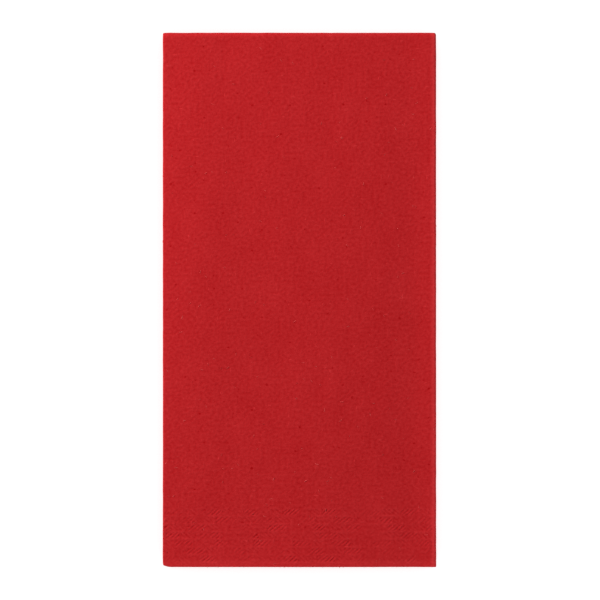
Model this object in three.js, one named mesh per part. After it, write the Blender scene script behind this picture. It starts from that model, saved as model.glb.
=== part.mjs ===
// A large paper napkin, folded three times into a flat oblong that lies on a surface.
// Millimetres, +Z up. The open end, with its eight cut edges, faces -Y. The cross fold faces +Y.
// The origin is under the middle of the napkin, on the surface that it lies on.

import * as THREE from 'three';

// Driving dimensions
const FOLDED_WIDTH = 102; // across the napkin, X
const FOLDED_LENGTH = 200; // cross fold to open end, Y
const SHEET_THICKNESS = 1.0; // one sheet, its plies pressed together
const LAYER_GAP = 0.2; // air between two layers
const COLOUR = '#b32124';

// How squarely the sheet was folded
const FOLD_OVERHANG = 0.7; // the folded left side stands this far past the loose edges inside it
const END_SETBACK = 0.9; // the under half's cut edges lie this far inside the upper half's
const FOLD_ROUNDNESS = 0.6; // 1 is a half circle, less is a squarer, more pressed fold

// Grid of the open sheet
const EDGE_STRIP = 3; // width of the narrow strip beside each fold and cut edge
const WIDTH_STEPS = 8; // between the strips of one panel, side to side
const LENGTH_STEPS = 10; // between the strips of one panel, end to end
const ARC_STEPS = 8; // round each fold

// Each fold turns the layers about a line, so its radius grows with the layers that it holds
const PITCH = SHEET_THICKNESS + LAYER_GAP;
const FOLD_RADII = { first: PITCH / 2, second: PITCH, cross: 2 * PITCH };
const STACK_HEIGHT = 7 * PITCH + SHEET_THICKNESS;

// The three folds, in the order in which they are made.
// line is where the fold starts, mid is the height of the middle of the layers that it turns,
// and side is +1 where they turn over the top, or -1 where they turn underneath.
function makeFolds() {
  const { first, second, cross } = FOLD_RADII;
  const twoLayers = PITCH + SHEET_THICKNESS;
  const fourLayers = 3 * PITCH + SHEET_THICKNESS;
  const secondLine = FOLDED_WIDTH - FOLD_OVERHANG - second - twoLayers / 2;
  const firstReach = 2 * secondLine + Math.PI * second + FOLD_OVERHANG;
  const firstLine = firstReach - first - SHEET_THICKNESS / 2;
  const crossLine = FOLDED_LENGTH - cross - fourLayers / 2;
  return [
    { axis: 'x', line: firstLine, mid: 0, radius: first, side: 1 },
    { axis: 'x', line: secondLine, mid: PITCH / 2, radius: second, side: 1 },
    { axis: 'y', line: crossLine, mid: 1.5 * PITCH, radius: cross, side: -1 },
  ];
}

const FOLDS = makeFolds();
const [FIRST_FOLD, SECOND_FOLD, CROSS_FOLD] = FOLDS;
const SHEET_WIDTH = 2 * FIRST_FOLD.line + Math.PI * FIRST_FOLD.radius;
const SHEET_LENGTH = 2 * CROSS_FOLD.line + Math.PI * CROSS_FOLD.radius - END_SETBACK;

// Where the finished napkin is a little thicker or thinner, because folds spring and edges settle.
// x and y are the middle of each place, reachX and reachY how far it fades, rise how much it adds.
const SWELLS = [
  { place: 'nested folds, right side', x: 53, y: -25, reachX: 8, reachY: 150, rise: 0.95 },
  { place: 'top of the nested folds', x: 44, y: 92, reachX: 18, reachY: 26, rise: 0.25 },
  { place: 'loose middle, lower right', x: 4, y: -50, reachX: 26, reachY: 80, rise: 0.5 },
  { place: 'loose middle, upper left', x: -14, y: 52, reachX: 34, reachY: 46, rise: 0.35 },
  { place: 'beside the left folds', x: -36, y: 15, reachX: 11, reachY: 90, rise: 0.45 },
  { place: 'cross fold', x: -6, y: 104, reachX: 60, reachY: 20, rise: 0.2 },
  { place: 'open end, left', x: -30, y: -110, reachX: 38, reachY: 18, rise: 1.0 },
  { place: 'open end, right', x: 32, y: -110, reachX: 34, reachY: 19, rise: 0.95 },
];

// The soft corner at the lower left, where the fold has been pushed in a little
const SOFT_CORNER = { x: -FOLDED_WIDTH / 2, y: -FOLDED_LENGTH / 2, reachX: 1.9, reachY: 1.0, push: 0.7 };

// A sine or cosine raised to the roundness, with its sign kept, which makes the turn squarer
function squarer(wave) {
  return Math.sign(wave) * Math.abs(wave) ** FOLD_ROUNDNESS;
}

// Turn one point of the layers round a fold. Points before the line stay where they are.
function foldOver(point, fold) {
  const { axis, line, mid, radius, side } = fold;
  const past = point[axis] - line;
  if (past <= 0) return;
  const offset = side * (point.z - mid);
  const arc = Math.PI * radius;
  if (past < arc) {
    const angle = past / radius;
    point[axis] = line + (radius - offset) * squarer(Math.sin(angle));
    point.z = mid + side * (radius - (radius - offset) * squarer(Math.cos(angle)));
  } else {
    point[axis] = line - (past - arc);
    point.z = mid + side * (2 * radius - offset);
  }
}

// Lay the finished stack on the surface, with the origin under its middle
function settle(point) {
  point.x -= FOLDED_WIDTH / 2 - FOLD_OVERHANG;
  point.y -= FOLDED_LENGTH / 2;
  point.z += STACK_HEIGHT - (3 * PITCH + SHEET_THICKNESS / 2);
}

// Thicken or thin the stack from the surface up, so that its underside stays flat
function swell(point) {
  let rise = 0;
  for (const place of SWELLS) {
    const across = (point.x - place.x) / place.reachX;
    const along = (point.y - place.y) / place.reachY;
    rise += place.rise * Math.exp(-across * across - along * along);
  }
  point.z *= 1 + rise / STACK_HEIGHT;
}

function pushCorner(point) {
  const across = (point.x - SOFT_CORNER.x) / SOFT_CORNER.reachX;
  const along = (point.y - SOFT_CORNER.y) / SOFT_CORNER.reachY;
  const push = SOFT_CORNER.push * Math.exp(-across * across - along * along);
  point.x += push / 3;
  point.y += push;
}

function shapePoint(x, y, z) {
  const point = new THREE.Vector3(x, y, z);
  for (const fold of FOLDS) foldOver(point, fold);
  settle(point);
  swell(point);
  pushCorner(point);
  return point;
}

// Evenly spaced places from one end to the other, both ends with them
function evenly(from, to, steps) {
  return Array.from({ length: steps + 1 }, (_, i) => from + ((to - from) * i) / steps);
}

// Grid lines over the flat of one panel, closer beside its two ends
function panelLines(length, steps) {
  return [0, ...evenly(EDGE_STRIP, length - EDGE_STRIP, steps), length];
}

// Grid lines for the open sheet: those up to the fold, those round it, and the first ones again
// beyond it, so that the lines of all layers lie over each other once the sheet is folded
function openOut(lines, fold) {
  const arc = Math.PI * fold.radius;
  const round = evenly(fold.line, fold.line + arc, ARC_STEPS).slice(1, -1);
  const beyond = lines.map((place) => 2 * fold.line + arc - place).reverse();
  return [...lines, ...round, ...beyond];
}

function widthLines() {
  const panel = panelLines(SECOND_FOLD.line, WIDTH_STEPS);
  const lines = openOut(panel, SECOND_FOLD);
  // The last panel also covers the overhang, so its end line moves out to the fold
  lines[lines.length - 1] = FIRST_FOLD.line;
  return openOut(lines, FIRST_FOLD);
}

function lengthLines() {
  const panel = panelLines(CROSS_FOLD.line, LENGTH_STEPS);
  const lines = openOut(panel, CROSS_FOLD);
  // The under half ends short of the upper half
  lines[lines.length - 1] = SHEET_LENGTH;
  return lines;
}

// The sheet as one closed solid: a grid of points on each face, joined round the four cut edges
function sheetGeometry() {
  const across = widthLines();
  const along = lengthLines();
  const positions = [];
  for (const z of [-SHEET_THICKNESS / 2, SHEET_THICKNESS / 2]) {
    for (const y of along) {
      for (const x of across) {
        positions.push(...shapePoint(x, y, z));
      }
    }
  }

  const columns = across.length;
  const rows = along.length;
  const place = (face, row, column) => (face * rows + row) * columns + column;
  const triangles = [];
  const addSquare = (a, b, c, d) => triangles.push(a, b, c, a, c, d);

  for (let row = 0; row + 1 < rows; row += 1) {
    for (let column = 0; column + 1 < columns; column += 1) {
      const corners = [[row, column], [row, column + 1], [row + 1, column + 1], [row + 1, column]];
      addSquare(...corners.map(([r, c]) => place(1, r, c)));
      addSquare(...corners.map(([r, c]) => place(0, r, c)).reverse());
    }
  }
  for (let column = 0; column + 1 < columns; column += 1) {
    const next = column + 1;
    const last = rows - 1;
    addSquare(place(0, 0, column), place(0, 0, next), place(1, 0, next), place(1, 0, column));
    addSquare(place(1, last, column), place(1, last, next), place(0, last, next), place(0, last, column));
  }
  for (let row = 0; row + 1 < rows; row += 1) {
    const next = row + 1;
    const last = columns - 1;
    addSquare(place(1, row, 0), place(1, next, 0), place(0, next, 0), place(0, row, 0));
    addSquare(place(0, row, last), place(0, next, last), place(1, next, last), place(1, row, last));
  }

  const geometry = new THREE.BufferGeometry();
  geometry.setAttribute('position', new THREE.Float32BufferAttribute(positions, 3));
  geometry.setIndex(triangles);
  geometry.computeVertexNormals();
  return geometry;
}

function makeNapkin() {
  const material = new THREE.MeshStandardMaterial({ color: COLOUR, roughness: 0.95, metalness: 0 });
  const mesh = new THREE.Mesh(sheetGeometry(), material);
  mesh.name = 'napkin';
  return mesh;
}

const napkin = new THREE.Group();
napkin.add(makeNapkin());

export default napkin;
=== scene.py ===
# %% [markdown]
# # A folded paper napkin
# A large dinner napkin is one square of soft tissue, three plies thick. A machine presses a border
# of small dashes along its cut edges, folds it lengthwise twice and then once across. Here the sheet
# is cut flat, pressed flat and folded by the same three folds, so its layers lie where real ones do.

# %% Load the frame
import math

import bpy
import numpy as np
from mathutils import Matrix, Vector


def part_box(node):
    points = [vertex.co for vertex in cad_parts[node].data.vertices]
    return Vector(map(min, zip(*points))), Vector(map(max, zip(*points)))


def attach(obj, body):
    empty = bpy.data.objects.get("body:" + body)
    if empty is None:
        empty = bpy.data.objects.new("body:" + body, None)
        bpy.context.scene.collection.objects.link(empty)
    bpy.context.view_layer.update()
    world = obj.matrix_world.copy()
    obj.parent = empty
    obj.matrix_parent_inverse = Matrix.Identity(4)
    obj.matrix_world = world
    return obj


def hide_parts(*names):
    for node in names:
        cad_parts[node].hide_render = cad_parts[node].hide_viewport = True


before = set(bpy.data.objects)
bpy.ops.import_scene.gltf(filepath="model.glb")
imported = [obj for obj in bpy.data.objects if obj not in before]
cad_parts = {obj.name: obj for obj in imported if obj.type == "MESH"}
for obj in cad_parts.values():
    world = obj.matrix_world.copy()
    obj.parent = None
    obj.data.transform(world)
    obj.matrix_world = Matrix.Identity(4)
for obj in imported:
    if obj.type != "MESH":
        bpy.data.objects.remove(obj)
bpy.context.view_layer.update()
node_low, node_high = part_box("napkin")
print("the folded napkin's box:", [round(size, 4) for size in node_high - node_low])

# %% [markdown]
# ## Sizes
# Every size comes from a few that a maker would name: the folded width and length, which the frame
# gives, the height of the eight layers, and how thick one sheet is. A fold bends the layers about a
# line, so its radius follows from the pitch, the distance from one layer to the next. Tissue springs,
# so the sheet is folded a little wider than its solid: rounded sides look narrower than square ones.

# %% Sizes of the sheet and its folds
MM = 0.001
SIDE_SPRING = 0.35 * MM  # how much wider than its solid the sheet is folded
WIDTH = node_high.x - node_low.x + SIDE_SPRING
LENGTH = node_high.y - node_low.y
STACK_HEIGHT = 9.4 * MM
SHEET = 0.84 * MM
LAYERS = 8
PITCH = (STACK_HEIGHT - SHEET) / (LAYERS - 1)
FOLD_OVERHANG = 0.7 * MM  # the first fold stands this far past the loose edges inside it
END_SETBACK = 0.9 * MM  # the under half's cut edges lie this far inside the upper half's
BORDER = 22 * MM  # the width of the embossed border

FIRST_RADIUS = PITCH / 2
SECOND_RADIUS = PITCH
CROSS_RADIUS = 2 * PITCH
# How far a pressed fold still bulges, as a share of its half circle
FIRST_BULGE, SECOND_BULGE, CROSS_BULGE = 0.85, 0.46, 0.48
second_line = WIDTH - FOLD_OVERHANG - SECOND_BULGE * (SECOND_RADIUS + (PITCH + SHEET) / 2)
first_reach = 2 * second_line + math.pi * SECOND_RADIUS + FOLD_OVERHANG
first_line = first_reach - FIRST_BULGE * (FIRST_RADIUS + SHEET / 2)
cross_line = LENGTH - CROSS_BULGE * (CROSS_RADIUS + (3 * PITCH + SHEET) / 2)
SHEET_WIDTH = 2 * first_line + math.pi * FIRST_RADIUS
SHEET_LENGTH = 2 * cross_line + math.pi * CROSS_RADIUS - END_SETBACK

# Each fold by the names of the inputs of the group that makes it. Line is where it starts, Middle
# the height of the middle of the layers that it turns, and Turn +1 over or -1 under. A Roundness of
# 1 is a half circle, and less is squarer.
FOLDS = {
    "in half": {
        "Line": first_line,
        "Middle": 0.0,
        "Radius": FIRST_RADIUS,
        "Turn": 1.0,
        "Along Y": 0.0,
        "Bulge": FIRST_BULGE,
        "Roundness": 0.6,
    },
    "in half again": {
        "Line": second_line,
        "Middle": PITCH / 2,
        "Radius": SECOND_RADIUS,
        "Turn": 1.0,
        "Along Y": 0.0,
        "Bulge": SECOND_BULGE,
        "Roundness": 0.64,
    },
    "across, under": {
        "Line": cross_line,
        "Middle": 1.5 * PITCH,
        "Radius": CROSS_RADIUS,
        "Turn": -1.0,
        "Along Y": 1.0,
        "Bulge": CROSS_BULGE,
        "Roundness": 0.75,
    },
}
print(f"open sheet {SHEET_WIDTH:.3f} by {SHEET_LENGTH:.3f} m, {PITCH / MM:.2f} mm from layer to layer")

# %% [markdown]
# ## Cutting the sheet
# The open sheet could be a plain grid, but only the part that ends up outside needs a fine one, and
# the finest only in the border. So a fine patch is let into a coarse grid, each of its rows has its
# own spacing, and a zip of faces joins any two rows. The patch's seams lie inside the folds, where
# nobody sees them. The thin cut edge shows three plies, so it is drawn as three small ridges with a
# groove between each two.

# %% Places of the grid lines
FOLD_BREAKS = [
    0,
    second_line,
    second_line + math.pi * SECOND_RADIUS,
    first_line,
    first_line + math.pi * FIRST_RADIUS,
    SHEET_WIDTH - second_line - math.pi * SECOND_RADIUS,
    SHEET_WIDTH - second_line,
    SHEET_WIDTH,
]
PATCH_FROM, SHOWN_FROM, SHOWN_TO, PATCH_TO = FOLD_BREAKS[1:5]
CROSS_FROM, CROSS_TO = cross_line, cross_line + math.pi * CROSS_RADIUS
HIDDEN_STEP = 5.0 * MM
ARC_STEPS, CROSS_STEPS = 10, 16  # faces round the two side folds, and round the cross fold


def evenly(start, end, longest):
    """Places from start to end, none further apart than longest."""
    steps = max(1, math.ceil((end - start) / longest - 1e-6))
    return list(np.linspace(start, end, steps + 1))


def chain(*runs):
    """Join runs of places that meet end to end."""
    places = list(runs[0])
    for run in runs[1:]:
        places += run[1:]
    return places


def coarse_across():
    """Places across the sheet for the coarse grid, closer together round the folds."""
    runs = []
    for panel, (start, end) in enumerate(zip(FOLD_BREAKS, FOLD_BREAKS[1:])):
        rounded = panel % 2 == 1
        runs.append(evenly(start, end, (end - start) / ARC_STEPS if rounded else HIDDEN_STEP))
    return chain(*runs)


def patch_across(step):
    """Places across the fine patch, with a step of its own on the part that shows."""
    return chain(
        evenly(PATCH_FROM, SHOWN_FROM, math.pi * SECOND_RADIUS / ARC_STEPS),
        evenly(SHOWN_FROM, SHOWN_TO, step),
        evenly(SHOWN_TO, PATCH_TO, math.pi * FIRST_RADIUS / ARC_STEPS),
    )


across = coarse_across()
along = chain(
    evenly(0, CROSS_FROM, HIDDEN_STEP),
    evenly(CROSS_FROM, CROSS_TO, math.pi * CROSS_RADIUS / CROSS_STEPS),
    evenly(CROSS_TO, SHEET_LENGTH, HIDDEN_STEP),
)
# The patch's rows, from the upper half's cut edge round the cross fold to the under half's
PATCH_SPANS = [
    {"to": BORDER, "row_step": 0.245 * MM, "step": 0.245 * MM},
    {"to": CROSS_FROM - 8 * MM, "row_step": 1.3 * MM, "step": 1.25 * MM},
    {"to": CROSS_FROM, "row_step": 0.8 * MM, "step": 0.9 * MM},
    {"to": CROSS_TO, "row_step": math.pi * CROSS_RADIUS / CROSS_STEPS, "step": 0.9 * MM},
    {"to": SHEET_LENGTH - BORDER, "row_step": 2.6 * MM, "step": 2.5 * MM},
    {"to": SHEET_LENGTH, "row_step": 0.52 * MM, "step": 0.52 * MM},
]
# Through the thickness: depth from -1 outside to 1 inside, and how far each point stands out in mm
PLY_EDGE = [(-1, 0.0), (-2 / 3, 0.08), (-1 / 3, -0.22), (0, 0.1), (1 / 3, -0.2), (2 / 3, 0.07), (1, 0.0)]

# %% Zip two rows together
corners, faces, edge_faces = [], [], []


def add_row(places, row_place, depth, stand_out=0.0):
    """Add one row of corners across the sheet, and return its places with the corners' numbers."""
    first = len(corners)
    corners.extend((place, row_place + stand_out, depth * SHEET / 2) for place in places)
    return [(place, first + number) for number, place in enumerate(places)]


def zip_rows(low, high, flip, on_edge=False):
    """Fill the strip between two rows with faces, whatever their spacings are."""
    i = j = 0
    while i + 1 < len(low) or j + 1 < len(high):
        next_low = low[i + 1][0] if i + 1 < len(low) else math.inf
        next_high = high[j + 1][0] if j + 1 < len(high) else math.inf
        if abs(next_low - next_high) < 1e-7:
            face = [low[i][1], low[i + 1][1], high[j + 1][1], high[j][1]]
            i, j = i + 1, j + 1
        elif next_low < next_high:
            face = [low[i][1], low[i + 1][1], high[j][1]]
            i += 1
        else:
            face = [low[i][1], high[j + 1][1], high[j][1]]
            j += 1
        faces.append(face[::-1] if flip else face)
        edge_faces.append(on_edge)


# %% Build the two faces of the sheet
inside = [add_row(across, place, 1) for place in along]
for low, high in zip(inside, inside[1:]):
    zip_rows(low, high, flip=False)

patch_columns = (across.index(PATCH_FROM), across.index(PATCH_TO))
outside = [
    (add_row(across[: patch_columns[0] + 1], place, -1), add_row(across[patch_columns[1] :], place, -1))
    for place in along
]
for low, high in zip(outside, outside[1:]):
    for part in (0, 1):
        zip_rows(low[part], high[part], flip=True)

patch = []
start = 0
for span in PATCH_SPANS:
    rows = evenly(start, span["to"], span["row_step"])
    places = patch_across(span["step"])[1:-1]
    patch += [(place, add_row(places, place, -1)) for place in (rows if not patch else rows[1:])]
    start = span["to"]
patch_from = len(faces)
for (_, low), (_, high) in zip(patch, patch[1:]):
    zip_rows(low, high, flip=True)
patch_to = len(faces)


def column_of(rows, number):
    """The corners at one end of each row, with their places along the sheet."""
    return [(place, row[number][1]) for place, row in rows]


zip_rows(column_of(zip(along, (row[0] for row in outside)), -1), column_of(patch, 0), flip=False)
zip_rows(column_of(patch, -1), column_of(zip(along, (row[1] for row in outside)), 0), flip=False)

# %% Close the cut edges
def side_column(side, number):
    """One column of corners along a loose side edge, with the same rows as the faces."""
    depth, stand_out = PLY_EDGE[number]
    end = 0 if side < 0 else -1
    if number == 0:
        return column_of(zip(along, (row[end] for row in outside)), end)
    if number == len(PLY_EDGE) - 1:
        return column_of(zip(along, inside), end)
    first = len(corners)
    edge_place = across[end] + side * stand_out * MM
    corners.extend((edge_place, place, depth * SHEET / 2) for place in along)
    return [(place, first + row) for row, place in enumerate(along)]


sides = {side: [side_column(side, number) for number in range(len(PLY_EDGE))] for side in (-1, 1)}
for side, columns in sides.items():
    for low, high in zip(columns, columns[1:]):
        zip_rows(low, high, flip=side < 0, on_edge=True)


def close_end(end):
    """Fill the cut edge at one end of the sheet, from the outside face to the inside one."""
    row = 0 if end < 0 else -1
    outermost = [*outside[row][0], *patch[row][1], *outside[row][1]]
    places = [place for place, _ in outermost]
    layers = [outermost]
    for number in range(1, len(PLY_EDGE) - 1):
        depth, stand_out = PLY_EDGE[number]
        middle = add_row(places[1:-1], along[row], depth, end * stand_out * MM)
        first = (places[0], sides[-1][number][row][1])
        last = (places[-1], sides[1][number][row][1])
        layers.append([first, *middle, last])
    layers.append(inside[row])
    for low, high in zip(layers, layers[1:]):
        zip_rows(low, high, flip=end > 0, on_edge=True)


close_end(-1)
close_end(1)

# %% Make the mesh and its flat map
sheet_mesh = bpy.data.meshes.new("napkin_sheet")
sheet_mesh.from_pydata(corners, [], faces)
sheet_map = sheet_mesh.uv_layers.new(name="Sheet")
flat_places = np.array(corners)[:, :2]
corner_numbers = np.empty(len(sheet_mesh.loops), dtype=np.int32)
sheet_mesh.loops.foreach_get("vertex_index", corner_numbers)
sheet_map.uv.foreach_set("vector", flat_places[corner_numbers].ravel())
cut_edge = sheet_mesh.attributes.new("cut_edge", "BOOLEAN", "FACE")
cut_edge.data.foreach_set("value", edge_faces)
shown = sheet_mesh.attributes.new("shown", "BOOLEAN", "FACE")
shown.data.foreach_set("value", [patch_from <= number < patch_to for number in range(len(faces))])
print(f"open sheet: {len(corners)} corners, {sum(len(face) - 2 for face in faces)} triangles")

# %% [markdown]
# ## Helpers for node groups
# Node trees are easier to read when each one is a short function. These helpers make a group with
# named inputs, feed a socket from a value or another socket, and write sums as one line each.

# %% Node helpers
SOCKETS = {
    "geometry": "NodeSocketGeometry",
    "value": "NodeSocketFloat",
    "vector": "NodeSocketVector",
    "colour": "NodeSocketColor",
    "whole": "NodeSocketInt",
    "material": "NodeSocketMaterial",
}


def new_group(name, tree_kind, inputs, outputs):
    """Make a node group. inputs and outputs are rows of name, kind and default value."""
    group = bpy.data.node_groups.new(name, tree_kind)
    for direction, sockets in (("INPUT", inputs), ("OUTPUT", outputs)):
        for socket_name, kind, *default in sockets:
            socket = group.interface.new_socket(
                name=socket_name, in_out=direction, socket_type=SOCKETS[kind]
            )
            if default:
                socket.default_value = default[0]
    return group, group.nodes.new("NodeGroupInput").outputs, group.nodes.new("NodeGroupOutput").inputs


def feed(tree, socket, value):
    """Link a socket to another one, or set its value."""
    if isinstance(value, bpy.types.NodeSocket):
        tree.links.new(value, socket)
    elif value is not None:
        socket.default_value = value


def add_node(tree, kind, values=None, **settings):
    """Add a node, set its options, and feed its inputs by name or number."""
    node = tree.nodes.new(kind)
    for setting, value in settings.items():
        setattr(node, setting, value)
    for socket, value in (values or {}).items():
        feed(tree, node.inputs[socket], value)
    return node


def sum_of(tree, operation, *values):
    """One step of arithmetic."""
    node = add_node(tree, "ShaderNodeMath", dict(enumerate(values)), operation=operation)
    return node.outputs[0]


def vector_sum(tree, operation, *values):
    """The same for vectors and colours."""
    node = add_node(tree, "ShaderNodeVectorMath", dict(enumerate(values)), operation=operation)
    return node.outputs[0]


def scaled(tree, vector, factor):
    """A vector or a colour times a factor."""
    node = add_node(tree, "ShaderNodeVectorMath", {0: vector, "Scale": factor}, operation="SCALE")
    return node.outputs[0]


def split(tree, vector):
    return add_node(tree, "ShaderNodeSeparateXYZ", {0: vector}).outputs


def combine(tree, x, y, z):
    return add_node(tree, "ShaderNodeCombineXYZ", {0: x, 1: y, 2: z}).outputs[0]


def ramp(tree, value, low, high, out_low=0.0, out_high=1.0):
    """Ease a value from one level to another."""
    return add_node(
        tree,
        "ShaderNodeMapRange",
        {"Value": value, "From Min": low, "From Max": high, "To Min": out_low, "To Max": out_high},
        interpolation_type="SMOOTHSTEP",
    ).outputs[0]


def product(tree, *values):
    """Several values multiplied together."""
    made = values[0]
    for value in values[1:]:
        made = sum_of(tree, "MULTIPLY", made, value)
    return made


def point_place(tree):
    """Where each point is."""
    return tree.nodes.new("GeometryNodeInputPosition").outputs[0]


def marked(tree, name):
    """True on the faces that were marked when the sheet was cut."""
    kind = "GeometryNodeInputNamedAttribute"
    return add_node(tree, kind, {"Name": name}, data_type="BOOLEAN").outputs[0]


def with_material(tree, geometry, material, chosen=None):
    """The geometry with a material on all its faces, or on the chosen ones."""
    values = {"Geometry": geometry, "Selection": chosen, "Material": material}
    return add_node(tree, "GeometryNodeSetMaterial", values).outputs[0]


def moved(tree, geometry, position):
    """The geometry with each of its points at a new place."""
    node = add_node(tree, "GeometryNodeSetPosition", {"Geometry": geometry, "Position": position})
    return node.outputs[0]


def use_group(tree, kind, group, values):
    """Add a node that runs a group, feed its inputs by name, and return its outputs."""
    node = tree.nodes.new(kind)
    node.node_tree = group
    for socket, value in values.items():
        feed(tree, node.inputs[socket], value)
    return node.outputs


# %% [markdown]
# ## Pressing the border
# On the real napkin a steel roller presses the dashes into the flat web before it is folded. They
# slant one way and then the other, in short blocks, which gives a herringbone. The group works out
# for each point how deep it lies in a dash, from the place in its row and block, and pushes it in.
# Soft tissue takes the pattern unevenly, so the depth and the places wander with two slow noises.
# A crushed dash is a little darker than the loose tissue between two of them. The same tone also
# paints shade into the dashes and light between them, so that both slants show as relief does. The
# group keeps that tone, partly painted shade, as an attribute for the material.

# %% Group: Press border
def press_group():
    tree, given, result = new_group(
        "Press border",
        "GeometryNodeTree",
        [
            ("Geometry", "geometry"),
            ("Sheet length", "value", 0.4),
            ("Shown from", "value", 0.1),
            ("Shown to", "value", 0.2),
            ("Row height", "value", 0.0029),
            ("Dash spacing", "value", 0.0017),
            ("Block width", "value", 0.0074),
            ("Block shift", "value", 0.37),
            ("Slant", "value", 1.15),
            ("First row", "value", 0.0015),
            ("Rows", "value", 7.0),
            ("Depth", "value", 0.00007),
        ],
        [("Geometry", "geometry")],
    )
    position = point_place(tree)
    x, y, z = split(tree, position)

    def wear(waves, low, high):
        """Smooth noise between two levels, with its number of waves to the metre."""
        place = vector_sum(tree, "MULTIPLY", position, (waves, waves, 0.0))
        noise = add_node(tree, "ShaderNodeTexNoise", {"Vector": place, "Scale": 1.0, "Detail": 1.0})
        return ramp(tree, noise.outputs[0], 0.3, 0.7, low, high)

    from_end = sum_of(tree, "SUBTRACT", given["Sheet length"], y)
    inward = sum_of(tree, "SUBTRACT", sum_of(tree, "MINIMUM", y, from_end), given["First row"])
    row_place = sum_of(tree, "DIVIDE", inward, given["Row height"])
    row = sum_of(tree, "FLOOR", row_place)
    in_row = sum_of(tree, "SUBTRACT", sum_of(tree, "FRACT", row_place), 0.5)

    wandered = sum_of(tree, "ADD", x, wear(110.0, -0.25 * MM, 0.25 * MM))
    block_place = sum_of(tree, "DIVIDE", wandered, given["Block width"])
    block_place = sum_of(tree, "MULTIPLY_ADD", row, given["Block shift"], block_place)
    block = sum_of(tree, "FLOOR", block_place)
    in_block = sum_of(tree, "ABSOLUTE", sum_of(tree, "SUBTRACT", sum_of(tree, "FRACT", block_place), 0.5))
    odd = sum_of(tree, "MODULO", sum_of(tree, "ADD", block, row), 2.0)
    direction = sum_of(tree, "SUBTRACT", product(tree, sum_of(tree, "ABSOLUTE", odd), 2.0), 1.0)

    lean = product(tree, direction, given["Slant"], in_row)
    leaned = sum_of(tree, "MULTIPLY_ADD", lean, given["Row height"], wandered)
    dash_place = sum_of(tree, "FRACT", sum_of(tree, "DIVIDE", leaned, given["Dash spacing"]))
    off_dash = sum_of(tree, "ABSOLUTE", sum_of(tree, "SUBTRACT", dash_place, 0.5))

    # Each of these is 1 inside the dash, its block, its row and the panel, and 0 outside
    across_dash = ramp(tree, off_dash, 0.34, 0.06)
    along_dash = ramp(tree, sum_of(tree, "ABSOLUTE", in_row), 0.46, 0.3)
    whole_block = ramp(tree, in_block, 0.49, 0.43)
    in_rows = product(
        tree,
        sum_of(tree, "GREATER_THAN", row_place, 0.0),
        sum_of(tree, "LESS_THAN", row_place, given["Rows"]),
    )
    on_panel = product(
        tree,
        sum_of(tree, "GREATER_THAN", x, given["Shown from"]),
        sum_of(tree, "LESS_THAN", x, given["Shown to"]),
    )
    outside = sum_of(tree, "LESS_THAN", z, 0.0)
    dash = product(tree, across_dash, along_dash)
    # The innermost row is pressed a little deeper than the others
    before_last = sum_of(tree, "SUBTRACT", given["Rows"], 1.5)
    inner_rows = ramp(tree, row_place, given["Rows"], before_last, 1.2, 0.95)
    limits = (whole_block, in_rows, on_panel, outside, inner_rows)
    strength = product(tree, wear(120.0, 0.1, 1.1), *limits)
    pressed = product(tree, dash, strength)
    # Darker in the dashes and paler between them: partly the crushed paper's own tone, partly painted shade
    # of the relief
    tone = product(tree, sum_of(tree, "SUBTRACT", 0.5, dash), strength)

    kept = add_node(
        tree,
        "GeometryNodeStoreNamedAttribute",
        {"Geometry": given["Geometry"], "Name": "press_and_shade_tone", "Value": tone},
        data_type="FLOAT",
        domain="POINT",
    ).outputs[0]
    pushed = sum_of(tree, "MULTIPLY_ADD", pressed, given["Depth"], z)
    feed(tree, result["Geometry"], moved(tree, kept, combine(tree, x, y, pushed)))
    return tree


# %% [markdown]
# ## One fold
# A fold leaves the points before its line where they are, rolls those just past it round a half
# turn, and lays the rest back over the first ones. One group does this for any fold, and it is
# used three times. Sine and cosine of an angle held between 0 and pi cover all three cases at once.
# Raised to a power below 1 they give a squarer turn than a circle, because a packed napkin is
# pressed until its top stays flat almost to the fold.

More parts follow.
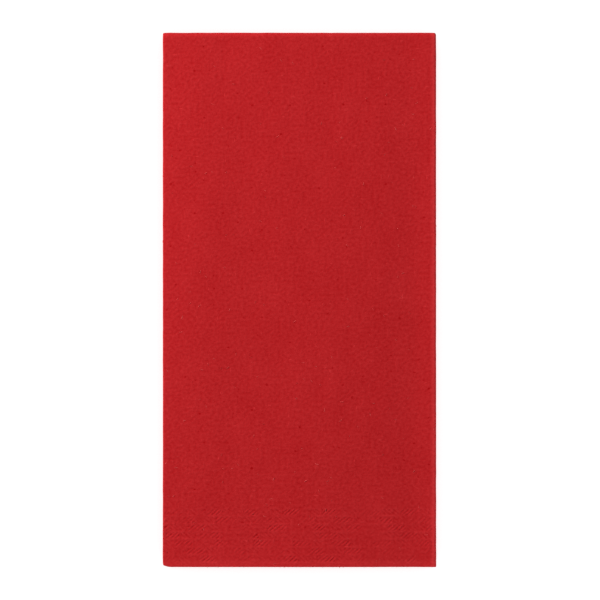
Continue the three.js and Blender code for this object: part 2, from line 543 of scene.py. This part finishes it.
# %% Group: Fold over
def fold_group():
    tree, given, result = new_group(
        "Fold over",
        "GeometryNodeTree",
        [
            ("Geometry", "geometry"),
            ("Line", "value", 0.1),
            ("Middle", "value", 0.0),
            ("Radius", "value", 0.001),
            ("Turn", "value", 1.0),
            ("Along Y", "value", 0.0),
            ("Bulge", "value", 1.0),
            ("Roundness", "value", 1.0),
        ],
        [("Geometry", "geometry")],
    )
    radius, turn, middle, line = (given[name] for name in ("Radius", "Turn", "Middle", "Line"))

    def squarer(wave):
        """Sine or cosine raised to the roundness, with its sign kept."""
        size = sum_of(tree, "POWER", sum_of(tree, "ABSOLUTE", wave), given["Roundness"])
        return product(tree, size, sum_of(tree, "SIGN", wave))

    x, y, z = split(tree, point_place(tree))
    place = sum_of(tree, "MULTIPLY_ADD", sum_of(tree, "SUBTRACT", y, x), given["Along Y"], x)
    past = sum_of(tree, "SUBTRACT", place, line)
    before = sum_of(tree, "MINIMUM", past, 0.0)
    arc = product(tree, radius, math.pi)
    beyond = sum_of(tree, "MAXIMUM", sum_of(tree, "SUBTRACT", past, arc), 0.0)
    angle = sum_of(tree, "MAXIMUM", sum_of(tree, "DIVIDE", past, radius), 0.0)
    angle = sum_of(tree, "MINIMUM", angle, math.pi)

    offset = product(tree, turn, sum_of(tree, "SUBTRACT", z, middle))
    reach = sum_of(tree, "SUBTRACT", radius, offset)
    bulge = product(tree, reach, given["Bulge"])
    rolled = sum_of(tree, "MULTIPLY_ADD", bulge, squarer(sum_of(tree, "SINE", angle)), line)
    new_place = sum_of(tree, "SUBTRACT", sum_of(tree, "ADD", rolled, before), beyond)
    fallen = product(tree, reach, squarer(sum_of(tree, "COSINE", angle)))
    climb = sum_of(tree, "SUBTRACT", radius, fallen)
    new_z = sum_of(tree, "MULTIPLY_ADD", turn, climb, middle)

    step = sum_of(tree, "SUBTRACT", new_place, place)
    new_y = sum_of(tree, "MULTIPLY_ADD", step, given["Along Y"], y)
    new_x = sum_of(tree, "SUBTRACT", sum_of(tree, "ADD", x, step), sum_of(tree, "SUBTRACT", new_y, y))
    feed(tree, result["Geometry"], moved(tree, given["Geometry"], combine(tree, new_x, new_y, new_z)))
    return tree


# %% [markdown]
# ## Settling
# Folds spring and edges settle, so a real stack is a little higher beside its folds and in its loose
# middle. Each row of the table is one soft swelling, or a hollow where its rise is negative, in
# millimetres. The heights are scaled from the surface up, so the underside stays flat and the layers
# keep their order. The layers also wave, the folds pucker and sink in, and the cut edges wander, each
# by its own noise.

# %% Where the napkin is a little thicker or thinner
SWELLS = [
    {"place": "nested folds, right side", "x": 54, "y": -25, "reach_x": 8, "reach_y": 150, "rise": 1.15},
    {"place": "hollow beside them", "x": 43, "y": -30, "reach_x": 8, "reach_y": 140, "rise": -0.2},
    {"place": "top of the nested folds", "x": 44, "y": 92, "reach_x": 18, "reach_y": 26, "rise": 0.25},
    {"place": "loose middle, lower right", "x": 4, "y": -50, "reach_x": 26, "reach_y": 80, "rise": 0.5},
    {"place": "loose middle, upper left", "x": -14, "y": 52, "reach_x": 34, "reach_y": 46, "rise": 0.35},
    {"place": "beside the left folds", "x": -36, "y": 15, "reach_x": 11, "reach_y": 90, "rise": 0.45},
    {"place": "left edge, pressed", "x": -53, "y": -5, "reach_x": 4.5, "reach_y": 110, "rise": -0.3},
    {"place": "cross fold", "x": -6, "y": 104, "reach_x": 60, "reach_y": 20, "rise": 0.2},
    {"place": "open end, left", "x": -30, "y": -112, "reach_x": 38, "reach_y": 21, "rise": 1.3},
    {"place": "open end, right", "x": 32, "y": -112, "reach_x": 34, "reach_y": 22, "rise": 1.2},
    {"place": "lip of the open end", "x": 0, "y": -104, "reach_x": 90, "reach_y": 9, "rise": 0.35},
]


def hill_group():
    """A soft hill that is as high as its rise in the middle and fades over its reach each way."""
    tree, given, result = new_group(
        "Soft hill",
        "GeometryNodeTree",
        [
            ("Middle X", "value", 0.0),
            ("Middle Y", "value", 0.0),
            ("Reach X", "value", 0.01),
            ("Reach Y", "value", 0.01),
            ("Rise", "value", 0.0),
        ],
        [("Height", "value")],
    )
    x, y, _ = split(tree, point_place(tree))
    squares = []
    for place, middle, reach in ((x, "Middle X", "Reach X"), (y, "Middle Y", "Reach Y")):
        away = sum_of(tree, "DIVIDE", sum_of(tree, "SUBTRACT", place, given[middle]), given[reach])
        squares.append(product(tree, away, away))
    fade = sum_of(tree, "EXPONENT", product(tree, sum_of(tree, "ADD", *squares), -1.0))
    feed(tree, result["Height"], product(tree, fade, given["Rise"]))
    return tree


def uneven(tree, stretch, detail=1.0):
    """Smooth noise between about -1 and 1. stretch is its waves to the metre along X, Y and Z."""
    place = vector_sum(tree, "MULTIPLY", point_place(tree), stretch)
    noise = add_node(tree, "ShaderNodeTexNoise", {"Vector": place, "Scale": 1.0, "Detail": detail})
    return sum_of(tree, "MULTIPLY_ADD", noise.outputs[0], 2.0, -1.0)


# %% Group: Settle
def settle_group():
    tree, given, result = new_group(
        "Settle",
        "GeometryNodeTree",
        [
            ("Geometry", "geometry"),
            ("Height", "value", STACK_HEIGHT),
            ("Layer waves", "value", 0.0),
            ("Cockling", "value", 0.0),
            ("Fold puckers", "value", 0.0),
            ("Sunken folds", "value", 0.0),
            ("End wander", "value", 0.0),
            ("Corner push", "value", 0.0),
        ],
        [("Geometry", "geometry")],
    )
    hill = hill_group()
    rise = 0.0
    for swell in SWELLS:
        sizes = {
            "Middle X": swell["x"] * MM,
            "Middle Y": swell["y"] * MM,
            "Reach X": swell["reach_x"] * MM,
            "Reach Y": swell["reach_y"] * MM,
            "Rise": swell["rise"] * MM,
        }
        rise = sum_of(tree, "ADD", rise, use_group(tree, "GeometryNodeGroup", hill, sizes)["Height"])

    x, y, z = split(tree, point_place(tree))
    share = sum_of(tree, "DIVIDE", z, given["Height"])
    off_floor = ramp(tree, share, 0.0, 0.3)

    # Heights: the swellings, waves that differ from layer to layer, and cockling of the surface.
    # share is a point's height as a share of the stack's. It tells the layers apart, so that the
    # top one, which is 1, waves less than those inside.
    inner = ramp(tree, share, 0.96, 0.84, 0.35, 1.0)
    long_waves = uneven(tree, (26.0, 19.0, 150.0))
    waves = sum_of(tree, "MULTIPLY_ADD", uneven(tree, (75.0, 60.0, 290.0)), 0.55, long_waves)
    waves = product(tree, waves, given["Layer waves"], inner)
    cockles = product(tree, uneven(tree, (170.0, 120.0, 25.0), 2.0), given["Cockling"])
    loose = product(tree, sum_of(tree, "ADD", waves, cockles), off_floor)
    new_z = sum_of(tree, "ADD", sum_of(tree, "MULTIPLY_ADD", share, rise, z), loose)

    # The paper puckers where it turns round a fold, and the folds below the top one sink in
    below_top = ramp(tree, share, 0.77, 0.6)
    sunk_side = sum_of(tree, "MULTIPLY_ADD", uneven(tree, (1.0, 28.0, 170.0)), 0.5, 0.5)
    sunk_end = sum_of(tree, "MULTIPLY_ADD", uneven(tree, (28.0, 1.0, 170.0)), 0.5, 0.5)
    sink = product(tree, below_top, given["Sunken folds"])

    near_side = ramp(tree, sum_of(tree, "ABSOLUTE", x), WIDTH / 2 - 7 * MM, WIDTH / 2 - 0.5 * MM)
    side_pucker = sum_of(tree, "SUBTRACT", uneven(tree, (60.0, 150.0, 130.0), 3.0), 0.1)
    side_pucker = product(tree, side_pucker, given["Fold puckers"], near_side)
    side_sink = product(tree, sunk_side, sink, near_side)
    inward = sum_of(tree, "SUBTRACT", side_pucker, side_sink)
    new_x = sum_of(tree, "MULTIPLY_ADD", sum_of(tree, "SIGN", x), inward, x)

    near_cross = ramp(tree, y, LENGTH / 2 - 8 * MM, LENGTH / 2 - 0.5 * MM)
    end_pucker = sum_of(tree, "SUBTRACT", uneven(tree, (150.0, 60.0, 130.0), 3.0), 0.1)
    end_pucker = product(tree, end_pucker, given["Fold puckers"], near_cross)
    end_sink = product(tree, sunk_end, sink, near_cross)
    new_y = sum_of(tree, "ADD", y, sum_of(tree, "SUBTRACT", end_pucker, end_sink))
    top_is_flat = ramp(tree, share, 0.85, 0.96, 0.9, 0.08)
    ripple = product(tree, sum_of(tree, "ADD", side_pucker, end_pucker), off_floor, top_is_flat)
    new_z = sum_of(tree, "ADD", new_z, ripple)

    # Cut edges wander a little, and only the top layer's stays straight
    under_top = ramp(tree, share, 0.95, 0.84)
    near_end = ramp(tree, y, -LENGTH / 2 + 9 * MM, -LENGTH / 2)
    wander = given["End wander"]
    step_back = sum_of(tree, "MULTIPLY_ADD", uneven(tree, (24.0, 1.0, 800.0)), wander, wander)
    shift = product(tree, step_back, near_end, under_top)
    new_y = sum_of(tree, "ADD", new_y, shift)

    # The lower left corner is pushed in
    corner_push = {
        "Middle X": -WIDTH / 2,
        "Middle Y": -LENGTH / 2,
        "Reach X": 1.5 * MM,
        "Reach Y": 0.9 * MM,
        "Rise": given["Corner push"],
    }
    corner = use_group(tree, "GeometryNodeGroup", hill, corner_push)["Height"]
    new_y = sum_of(tree, "ADD", new_y, corner)
    new_x = sum_of(tree, "MULTIPLY_ADD", corner, 0.35, new_x)
    feed(tree, result["Geometry"], moved(tree, given["Geometry"], combine(tree, new_x, new_y, new_z)))
    return tree


# %% [markdown]
# ## Materials
# Soft tissue is matt. Its colour is even from far away, but close up it has a crepe grain, cloudy
# patches where the fibres lie thicker, and pale fibres that took less dye. One group works these
# out in the sheet's own flat places, so that the grain follows the paper round its folds. A paler
# place has more undyed fibres in it, so it moves a little towards white, and a darker one has fewer.
# Painted tones go through the same group: a painted highlight on the shoulders of the nested folds'
# nose, which the key light leaves in shade, and the dashes' tone, partly painted shade. The tissue
# is also a little paler within a few millimetres of its cut ends.

# %% Group: Tissue grain
def tissue_group():
    tree, given, result = new_group(
        "Tissue grain",
        "ShaderNodeTree",
        [
            ("Place", "vector", (0.0, 0.0, 0.0)),
            ("Colour", "colour", (0.3, 0.01, 0.01, 1.0)),
            ("Undyed", "colour", (0.03, 0.03, 0.03, 1.0)),
            ("Press tone and painted light", "value", 0.0),
            ("Clouding", "value", 0.1),
            ("Grain", "value", 0.1),
            ("Fibres", "value", 0.1),
        ],
        [("Colour", "colour"), ("Height", "value")],
    )

    def noise(stretch, detail, roughness=0.5):
        """Noise about 0. stretch is its waves to the metre across and along the sheet."""
        place = vector_sum(tree, "MULTIPLY", given["Place"], stretch)
        values = {"Vector": place, "Scale": 1.0, "Detail": detail, "Roughness": roughness}
        node = add_node(tree, "ShaderNodeTexNoise", values)
        return sum_of(tree, "SUBTRACT", node.outputs[0], 0.5)

    crepe = noise((860.0, 980.0, 0.0), 2.0, 0.5)
    clouds = noise((100.0, 62.0, 0.0), 2.0, 0.6)
    strands = noise((1100.0, 360.0, 0.0), 1.0)
    crossing = noise((340.0, 1000.0, 0.0), 1.0)
    pale = ramp(tree, sum_of(tree, "MAXIMUM", strands, crossing), 0.2, 0.3)
    dark = ramp(tree, noise((560.0, 640.0, 0.0), 0.0), -0.27, -0.36)
    # The added tone carries the dashes' tone, partly painted shade, and the painted highlight on the fold
    # nose
    tone = sum_of(tree, "MULTIPLY_ADD", clouds, given["Clouding"], given["Press tone and painted light"])
    tone = sum_of(tree, "MULTIPLY_ADD", crepe, given["Grain"], tone)
    tone = sum_of(tree, "MULTIPLY_ADD", pale, given["Fibres"], tone)
    tone = sum_of(tree, "SUBTRACT", tone, product(tree, dark, given["Fibres"]))
    height = sum_of(tree, "MULTIPLY_ADD", pale, 0.25, sum_of(tree, "MULTIPLY_ADD", clouds, 0.6, crepe))
    paler = scaled(tree, vector_sum(tree, "ADD", given["Colour"], given["Undyed"]), tone)
    shade = vector_sum(tree, "ADD", given["Colour"], paler)
    # No place is quite black
    shade = vector_sum(tree, "MAXIMUM", shade, (0.002, 0.002, 0.002))
    feed(tree, result["Colour"], shade)
    feed(tree, result["Height"], height)
    return tree


# %% Tissue materials
TISSUE_RED = (0.304, 0.0096, 0.0113, 1.0)
EDGE_RED = (0.35, 0.013, 0.014, 1.0)
# How much paler or darker each effect makes the tissue, as a share of its colour: the dashes
# (partly painted shade), the painted highlight on the folds' nose, and the cut ends
PRESS_AND_SHADE_TONE, NOSE_HIGHLIGHT_TONE, END_PALE_TONE = 0.11, 0.25, 0.07
grain_group = tissue_group()


def matt_finish(shader):
    """Tissue hardly shines: a very rough and weak gloss."""
    shader.inputs["Roughness"].default_value = 0.95
    shader.inputs["Specular IOR Level"].default_value = 0.03


def nose_highlight_and_pale_ends(tree, place):
    """A painted highlight along the nose of the nested folds, which the key light leaves in shade,
    and a little paler beside the cut ends.
    """
    x, y, _ = split(tree, place)
    nose = (PATCH_FROM + SHOWN_FROM) / 2
    off_nose = sum_of(tree, "ABSOLUTE", sum_of(tree, "SUBTRACT", x, nose))
    # Painted highlight on the shaded shoulders of the nested folds' nose
    nose_highlight = ramp(tree, off_nose, 3.4 * MM, 1.5 * MM, 0.0, NOSE_HIGHLIGHT_TONE)
    nose_highlight = product(tree, ramp(tree, off_nose, 0.5 * MM, 1.3 * MM), nose_highlight)
    # A little paler within a few millimetres of the cut ends
    from_end = sum_of(tree, "MINIMUM", y, sum_of(tree, "SUBTRACT", SHEET_LENGTH, y))
    paler_end = ramp(tree, from_end, 3.4 * MM, 1.4 * MM, 0.0, END_PALE_TONE)
    return sum_of(tree, "ADD", nose_highlight, paler_end)


def tissue_material(name, colour, grain, clouding, fibres, relief, press_and_painted_tones=False):
    """A matt tissue with the shared grain. Its last flag adds the dashes' tone, partly painted shade,
    a painted highlight on the nose of the nested folds, and paler cut ends.
    """
    material = bpy.data.materials.new(name)
    material.use_nodes = True
    tree = material.node_tree
    shader = tree.nodes["Principled BSDF"]
    place = add_node(tree, "ShaderNodeUVMap", uv_map="Sheet").outputs[0]
    look = {"Place": place, "Colour": colour, "Clouding": clouding, "Grain": grain, "Fibres": fibres}
    if press_and_painted_tones:
        # The dashes' tone, partly painted shade, with the painted highlight on the fold nose and the paler
        # cut ends
        pressed = add_node(tree, "ShaderNodeAttribute", attribute_name="press_and_shade_tone").outputs["Fac"]
        look["Press tone and painted light"] = sum_of(tree, "MULTIPLY_ADD", pressed, PRESS_AND_SHADE_TONE, nose_highlight_and_pale_ends(tree, place))
    made = use_group(tree, "ShaderNodeGroup", grain_group, look)
    feed(tree, shader.inputs["Base Color"], made["Colour"])
    bump = add_node(tree, "ShaderNodeBump", {"Height": made["Height"], "Distance": relief})
    feed(tree, shader.inputs["Normal"], bump.outputs[0])
    matt_finish(shader)
    return material


tissue = tissue_material(
    "soft_tissue", TISSUE_RED, grain=0.38, clouding=0.12, fibres=0.18, relief=0.13 * MM, press_and_painted_tones=True
)
cut_tissue = tissue_material(
    "cut_tissue", EDGE_RED, grain=0.5, clouding=0.08, fibres=0.2, relief=0.25 * MM
)

# %% [markdown]
# ## Folding the napkin
# The tree presses the border, folds the sheet three times, lays it on the surface and settles it.
# The sheet starts as the fourth layer from the top, so it is raised until the lowest one lies on the
# surface. The result is turned into a plain mesh, and the tree is taken off again.

# %% Tree: Fold the napkin
PRESS_DEPTH = 0.115 * MM
PLAIN_MARGIN = 0.4 * MM  # without dashes, beside each fold
# How uneven the folded napkin is
SETTLING = {
    "Layer waves": 0.72 * MM,
    "Cockling": 0.08 * MM,
    "Fold puckers": 0.12 * MM,
    "Sunken folds": 0.7 * MM,
    "End wander": 0.45 * MM,
    "Corner push": 0.55 * MM,
}


def napkin_tree():
    inputs = [("Geometry", "geometry"), ("Press depth", "value", 0.0)]
    inputs += [(name, "value", 0.0) for name in SETTLING]
    inputs += [("Tissue", "material"), ("Cut edge", "material")]
    own_inputs = ("Line", "Radius")
    for name, fold in FOLDS.items():
        inputs += [(f"{part} of fold {name}", "value", fold[part]) for part in own_inputs]
    outputs = [("Geometry", "geometry")]
    tree, given, result = new_group("Fold the napkin", "GeometryNodeTree", inputs, outputs)
    kind = "GeometryNodeGroup"
    shape = use_group(
        tree,
        kind,
        press_group(),
        {
            "Geometry": given["Geometry"],
            "Sheet length": SHEET_LENGTH,
            "Shown from": SHOWN_FROM + PLAIN_MARGIN,
            "Shown to": SHOWN_TO - PLAIN_MARGIN,
            "Depth": given["Press depth"],
        },
    )[0]
    fold_over = fold_group()
    for name, fold in FOLDS.items():
        own = {part: given[f"{part} of fold {name}"] for part in own_inputs}
        shape = use_group(tree, kind, fold_over, {"Geometry": shape, **fold, **own})[0]
    laid = (FOLD_OVERHANG - WIDTH / 2, -LENGTH / 2, LAYERS / 2 * PITCH + SHEET / 2)
    shape = add_node(tree, "GeometryNodeTransform", {"Geometry": shape, "Translation": laid}).outputs[0]
    settling = {name: given[name] for name in SETTLING}
    shape = use_group(tree, kind, settle_group(), {"Geometry": shape, **settling})[0]
    shape = add_node(tree, "GeometryNodeSetShadeSmooth", {"Geometry": shape}).outputs[0]
    shape = add_node(tree, "GeometryNodeRealizeInstances", {"Geometry": shape}).outputs[0]
    shape = with_material(tree, shape, given["Tissue"])
    shape = with_material(tree, shape, given["Cut edge"], chosen=marked(tree, "cut_edge"))
    feed(tree, result["Geometry"], shape)
    return tree


def apply_tree(source, tree, values, name):
    """Run a geometry tree on an object and return its result as a plain mesh object."""
    modifier = source.modifiers.new(tree.name, "NODES")
    modifier.node_group = tree
    for item in tree.interface.items_tree:
        if item.name in values and item.in_out == "INPUT":
            modifier[item.identifier] = values[item.name]
    depsgraph = bpy.context.evaluated_depsgraph_get()
    mesh = bpy.data.meshes.new_from_object(source.evaluated_get(depsgraph))
    source.modifiers.remove(modifier)
    mesh.name = name
    made = bpy.data.objects.new(name, mesh)
    bpy.context.scene.collection.objects.link(made)
    return made


# %% Fold it
SHARP_ANGLE = math.radians(50)  # the rims of the cut edges are sharper, and the folds smoother
open_sheet = bpy.data.objects.new("open_sheet", sheet_mesh)
bpy.context.scene.collection.objects.link(open_sheet)
napkin = apply_tree(
    open_sheet,
    napkin_tree(),
    {"Press depth": PRESS_DEPTH, **SETTLING, "Tissue": tissue, "Cut edge": cut_tissue},
    "folded_napkin",
)
bpy.data.objects.remove(open_sheet)
napkin.data.set_sharp_from_angle(angle=SHARP_ANGLE)
print("folded napkin:", [round(size, 4) for size in napkin.dimensions], len(napkin.data.polygons), "faces")

# %% [markdown]
# ## Loose fibres
# Tissue sheds. Pale fibres that took less dye lie on the surface as short flecks, and a thin fuzz of
# finer ones stands out of the cut edges. Each is a three-sided tube along a bent curve. Four bends
# are made once, and Geometry Nodes scatter them: points on the faces, one of the bends on each
# point, turned by chance, and lying flat on the face that carries it.

# %% Material: pale fibre
FIBRE_RED = (0.5, 0.062, 0.06, 1.0)


def fibre_material():
    """The same grain as the tissue, paler."""
    material = bpy.data.materials.new("pale_fibre")
    material.use_nodes = True
    tree = material.node_tree
    shader = tree.nodes["Principled BSDF"]
    place = add_node(tree, "ShaderNodeTexCoord").outputs["Object"]
    look = {"Place": place, "Colour": FIBRE_RED, "Clouding": 0.9, "Grain": 0.4, "Fibres": 0.2}
    made = use_group(tree, "ShaderNodeGroup", grain_group, look)
    feed(tree, shader.inputs["Base Color"], made["Colour"])
    matt_finish(shader)
    return material


pale_fibre = fibre_material()

# %% Tree: Scatter fibres
# The middle and far end of each bend, as shares of the fibre's length
BENDS = [
    {"middle": (0.5, 0.16, 0.03), "end": (1.0, 0.0, 0.0)},
    {"middle": (0.42, -0.22, 0.05), "end": (0.86, -0.3, 0.01)},
    {"middle": (0.5, 0.3, 0.04), "end": (0.62, 0.62, 0.0)},
    {"middle": (0.55, -0.06, 0.06), "end": (0.95, 0.22, 0.02)},
]


def fibre_tree():
    tree, given, result = new_group(
        "Scatter fibres",
        "GeometryNodeTree",
        [
            ("Geometry", "geometry"),
            ("Flecks per square metre", "value", 8500.0),
            ("Fleck length", "value", 0.0009),
            ("Fleck thickness", "value", 0.00007),
            ("Fuzz per square metre", "value", 600000.0),
            ("Fuzz length", "value", 0.0005),
            ("Fuzz thickness", "value", 0.00004),
            ("Seed", "whole", 4),
            ("Fibre", "material"),
        ],
        [("Geometry", "geometry")],
    )

    def random(low, high, seed, kind="FLOAT"):
        """A random value between two limits for each point. Only one kind's sockets are in use."""
        node = tree.nodes.new("FunctionNodeRandomValue")
        node.data_type = kind
        sockets = [socket for socket in node.inputs if socket.enabled]
        for socket, value in zip(sockets, (low, high)):
            socket.default_value = value
        feed(tree, next(socket for socket in node.inputs if socket.name == "Seed"), seed)
        return next(socket for socket in node.outputs if socket.enabled)

    def bent_tubes(length, thickness):
        """All the bends as instances, each a thin three-sided tube."""
        profile = add_node(tree, "GeometryNodeCurvePrimitiveCircle", {"Resolution": 3, "Radius": thickness})
        joined = tree.nodes.new("GeometryNodeJoinGeometry")
        for bend in reversed(BENDS):
            curve = add_node(
                tree,
                "GeometryNodeCurveQuadraticBezier",
                {"Resolution": 5, "Start": (0.0, 0.0, 0.0), "Middle": bend["middle"], "End": bend["end"]},
            ).outputs[0]
            size = combine(tree, length, length, length)
            curve = add_node(tree, "GeometryNodeTransform", {"Geometry": curve, "Scale": size}).outputs[0]
            tube = add_node(
                tree,
                "GeometryNodeCurveToMesh",
                {"Curve": curve, "Profile Curve": profile.outputs[0], "Fill Caps": True},
            ).outputs[0]
            # Each bend carries its material, so that the scattered fibres have no empty slot
            tube = with_material(tree, tube, given["Fibre"])
            one = add_node(tree, "GeometryNodeGeometryToInstance", {0: tube}).outputs[0]
            tree.links.new(one, joined.inputs[0])
        return joined.outputs[0]

    def scatter(chosen, density, tubes, seed, lift):
        """Put a bend on each of some random points, turned about the face's normal."""
        points = add_node(
            tree,
            "GeometryNodeDistributePointsOnFaces",
            {"Mesh": given["Geometry"], "Selection": chosen, "Density": density, "Seed": seed},
        )
        spin = combine(tree, 0.0, 0.0, random(0.0, math.tau, seed))
        turned = add_node(
            tree,
            "FunctionNodeRotateRotation",
            {"Rotation": points.outputs["Rotation"], "Rotate By": spin},
            rotation_space="LOCAL",
        ).outputs[0]
        offset = scaled(tree, points.outputs["Normal"], lift)
        raised = add_node(
            tree, "GeometryNodeSetPosition", {"Geometry": points.outputs["Points"], "Offset": offset}
        ).outputs[0]
        return add_node(
            tree,
            "GeometryNodeInstanceOnPoints",
            {
                "Points": raised,
                "Instance": tubes,
                "Pick Instance": True,
                "Instance Index": random(0, len(BENDS) - 1, seed, "INT"),
                "Rotation": turned,
                "Scale": random((0.5, 0.5, 0.8), (1.5, 1.5, 1.2), seed, "FLOAT_VECTOR"),
            },
        ).outputs[0]

    _, y, z = split(tree, point_place(tree))
    clear_of_floor = sum_of(tree, "GREATER_THAN", z, 1.5 * MM)
    at_open_end = sum_of(tree, "LESS_THAN", y, 4 * MM - LENGTH / 2)
    on_face = product(tree, marked(tree, "shown"), clear_of_floor)
    on_edge = product(tree, marked(tree, "cut_edge"), clear_of_floor, at_open_end)
    flecks = bent_tubes(given["Fleck length"], given["Fleck thickness"])
    fuzz = bent_tubes(given["Fuzz length"], given["Fuzz thickness"])
    other_seed = sum_of(tree, "ADD", given["Seed"], 7.0)
    scattered = tree.nodes.new("GeometryNodeJoinGeometry")
    lift = product(tree, given["Fleck thickness"], 0.3)
    for part in (
        scatter(on_face, given["Flecks per square metre"], flecks, given["Seed"], lift),
        scatter(on_edge, given["Fuzz per square metre"], fuzz, other_seed, 0.0),
    ):
        tree.links.new(part, scattered.inputs[0])
    shape = add_node(tree, "GeometryNodeRealizeInstances", {"Geometry": scattered.outputs[0]}).outputs[0]
    shape = add_node(tree, "GeometryNodeSetShadeSmooth", {"Geometry": shape}).outputs[0]
    feed(tree, result["Geometry"], with_material(tree, shape, given["Fibre"]))
    return tree


# %% Scatter them
fibres = apply_tree(napkin, fibre_tree(), {"Seed": 4, "Fibre": pale_fibre}, "loose_fibres")
print("loose fibres:", len(fibres.data.polygons), "faces")

# %% [markdown]
# ## Camera
# The napkin is seen from straight above, so a long lens looks down at it. The frame is as wide as
# 600 pixels at the scale where the napkin's length takes 535 of them. Its ends are rounded and
# uneven, so 534 of those look full. The camera stands part of a pixel off the middle, so that the
# napkin's sides fall between two pixels.

# %% Camera
FRAME_PIXELS = 600
NAPKIN_PIXELS = 535
SHIFT_X, SHIFT_Y = 0.5, -0.8
LENS, SENSOR = 180.0, 36.0  # in millimetres
frame_width = LENGTH * FRAME_PIXELS / NAPKIN_PIXELS
top_height = STACK_HEIGHT + 0.3 * MM
camera_data = bpy.data.cameras.new("camera")
camera_data.lens = LENS
camera_data.sensor_width = SENSOR
camera = bpy.data.objects.new("camera", camera_data)
pixel = frame_width / FRAME_PIXELS
camera.location = (SHIFT_X * pixel, SHIFT_Y * pixel, top_height + frame_width * LENS / SENSOR)
bpy.context.scene.collection.objects.link(camera)
bpy.context.scene.camera = camera
print(f"camera {camera.location.z:.3f} m up, frame {frame_width / MM:.1f} mm wide")

# %% [markdown]
# ## Floor and light
# The floor is plain and pale, and so bright that a low object hardly shades it. A soft key light
# stands low at the upper left, close enough to be brighter there than at the lower right, and picks
# out the relief of the tissue. A weaker fill light stands lower still, opposite it, and lights the
# nested folds and the cut edges, which the key leaves dark. Both are linked to the napkin and its
# fibres alone. A wide light overhead and a white room light the napkin and the floor. The room looks
# pure white behind the floor, but lights only a third as strongly, so that it doesn't wash out the
# relief.

# %% Floor
FLOOR_HALF = 2.0
FLOOR_LEVEL = -0.05 * MM
FLOOR_GLOW = 0.68


def floor():
    signs = ((-1, -1), (1, -1), (1, 1), (-1, 1))
    places = [(FLOOR_HALF * side, FLOOR_HALF * end, FLOOR_LEVEL) for side, end in signs]
    mesh = bpy.data.meshes.new("floor")
    mesh.from_pydata(places, [], [(0, 1, 2, 3)])
    material = bpy.data.materials.new("pale_floor")
    material.use_nodes = True
    shader = material.node_tree.nodes["Principled BSDF"]
    shader.inputs["Base Color"].default_value = (0.93, 0.93, 0.93, 1.0)
    shader.inputs["Roughness"].default_value = 1.0
    shader.inputs["Specular IOR Level"].default_value = 0.0
    shader.inputs["Emission Color"].default_value = (1.0, 1.0, 1.0, 1.0)
    shader.inputs["Emission Strength"].default_value = FLOOR_GLOW
    mesh.materials.append(material)
    made = bpy.data.objects.new("floor", mesh)
    bpy.context.scene.collection.objects.link(made)


floor()


# %% Lights
def soft_light(name, place, size, power, only=None):
    """A square light that looks at the origin, and lights only the given pieces, or everything."""
    data = bpy.data.lights.new(name, "AREA")
    data.shape = "SQUARE"
    data.size = size
    data.energy = power
    light = bpy.data.objects.new(name, data)
    light.location = place
    x, y, z = place
    light.rotation_euler = (math.atan2(math.hypot(x, y), z), 0, math.atan2(-y, -x) - math.pi / 2)
    bpy.context.scene.collection.objects.link(light)
    if only:
        lit = bpy.data.collections.new(f"{name}_lights")
        for piece in only:
            lit.objects.link(piece)
        light.light_linking.receiver_collection = lit


soft_light("key", place=(-0.76, 0.52, 0.48), size=0.36, power=21.5, only=[napkin, fibres])
soft_light("fill", place=(0.95, -0.68, 0.15), size=0.5, power=9.2, only=[napkin, fibres])
soft_light("overhead", place=(0.0, 0.0, 1.9), size=2.4, power=8.0)

# %% Room
ROOM_SEEN, ROOM_LIGHT = 1.0, 0.35
world = bpy.data.worlds.new("studio")
world.use_nodes = True
room = world.node_tree.nodes["Background"]
room.inputs["Color"].default_value = (1.0, 1.0, 1.0, 1.0)
seen = add_node(world.node_tree, "ShaderNodeLightPath").outputs["Is Camera Ray"]
strength = sum_of(world.node_tree, "MULTIPLY_ADD", seen, ROOM_SEEN - ROOM_LIGHT, ROOM_LIGHT)
feed(world.node_tree, room.inputs["Strength"], strength)
bpy.context.scene.world = world
view = bpy.context.scene.view_settings
view.view_transform = "Standard"
view.look = "None"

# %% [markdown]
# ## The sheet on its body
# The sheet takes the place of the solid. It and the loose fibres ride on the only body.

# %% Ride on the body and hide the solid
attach(napkin, "root")
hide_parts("napkin")
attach(fibres, "root")
